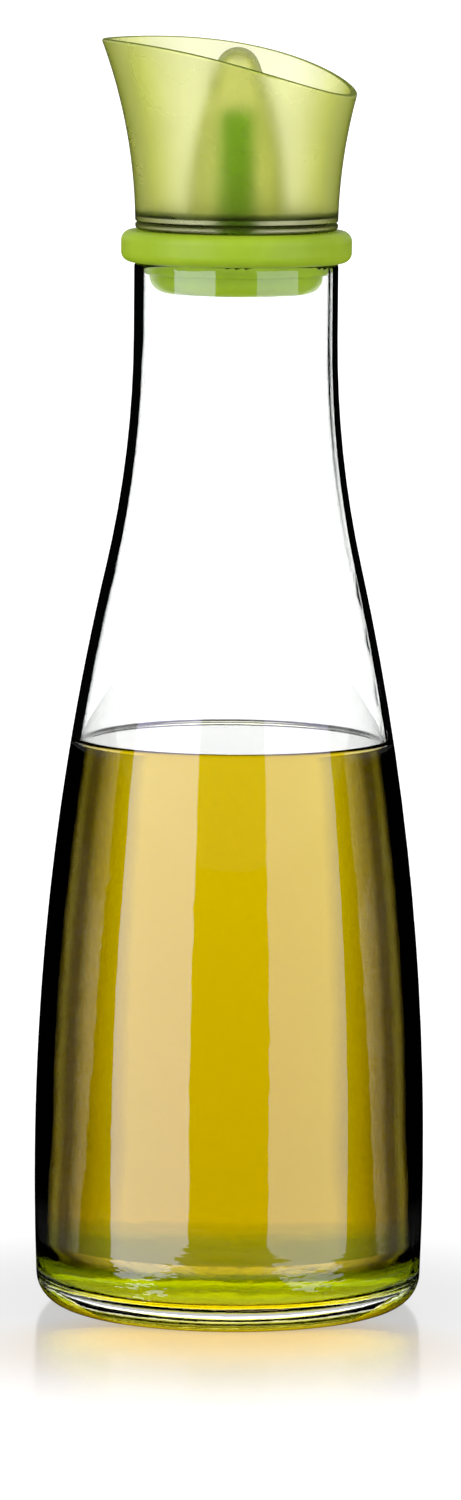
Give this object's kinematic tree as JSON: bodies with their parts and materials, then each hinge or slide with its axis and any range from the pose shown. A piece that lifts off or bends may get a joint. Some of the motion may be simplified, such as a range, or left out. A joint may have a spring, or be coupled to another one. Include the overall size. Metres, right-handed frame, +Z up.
{
  "type": "oil cruet",
  "caption": "Clear glass cruet with a long hollow-shouldered body, part filled with yellow-green oil, closed by a lime silicone stopper with a flared slant-rimmed pouring cup.",
  "frame": {"origin": "middle of the foot, on the surface that the bottle stands on", "axes": "+Z up along the bottle's axis; the pour lip points to -X and the low side of the rim to +X"},
  "size_m": [0.077, 0.077, 0.2499],
  "materials": {
    "clear_glass": "polished",
    "cooking_oil": "liquid",
    "lime_silicone": "matte",
    "green_plastic": "satin"
  },
  "bodies": {
    "root": {"bottle": "clear_glass", "oil": "cooking_oil", "stopper": "lime_silicone", "pourer": "green_plastic"}
  },
  "joints": []
}
